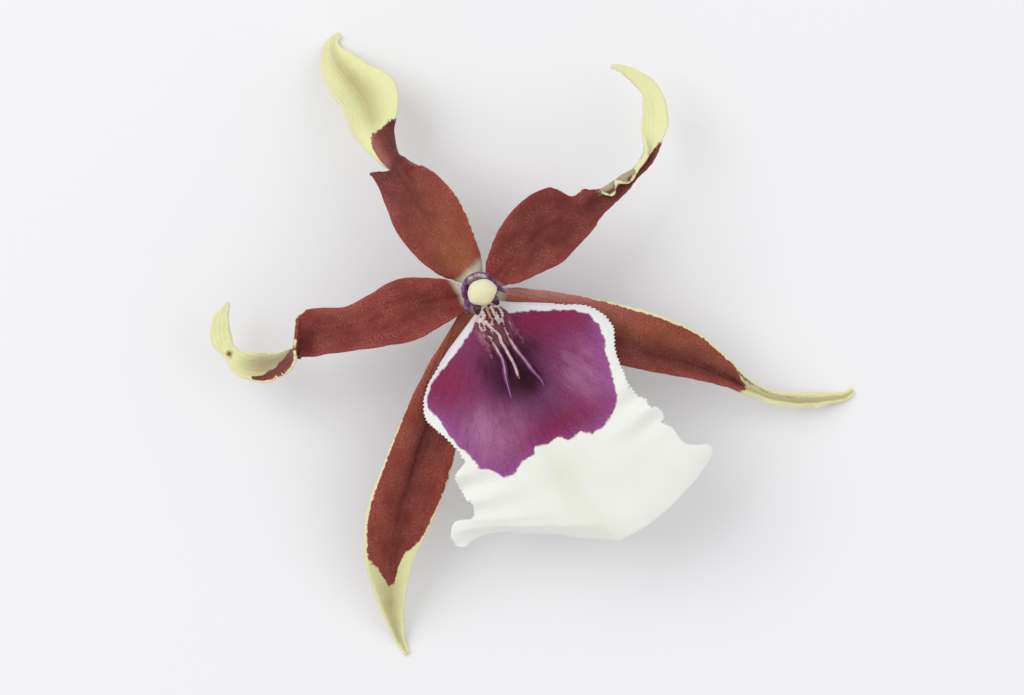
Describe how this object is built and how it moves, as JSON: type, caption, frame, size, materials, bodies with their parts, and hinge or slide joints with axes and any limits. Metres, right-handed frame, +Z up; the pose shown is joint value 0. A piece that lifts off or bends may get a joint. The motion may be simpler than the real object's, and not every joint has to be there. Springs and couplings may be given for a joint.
{
  "type": "orchid bloom",
  "caption": "Spider-type orchid bloom, face up: narrow red-brown sepals and petals with pale tips, a broad toothed purple and white lip, a capped column and a bent stalk.",
  "frame": {"origin": "under the middle of the bloom's bounding box, on the surface that it lies on", "axes": "+Z up, out of the flower's face; +Y towards the tip of the upright (dorsal) sepal; the lip points to -Y and the petals spread along X"},
  "size_m": [0.0962, 0.1019, 0.0304],
  "materials": {
    "tepal": "living petal tissue, satin, red-brown with paler tips",
    "lip": "living petal tissue, satin, white with a purple middle",
    "column": "fleshy tissue, waxy, purple",
    "cap": "waxy cap, cream",
    "pollen": "waxy pollen masses, yellow",
    "stalk": "fleshy stem tissue, satin, olive green"
  },
  "bodies": {
    "root": {"pedicel": "stalk", "dorsal_sepal": "tepal", "lateral_sepal_left": "tepal", "lateral_sepal_right": "tepal", "petal_left": "tepal", "petal_right": "tepal", "lip": "lip", "column": "column", "anther_cap": "cap", "pollinarium": "pollen"}
  },
  "joints": []
}
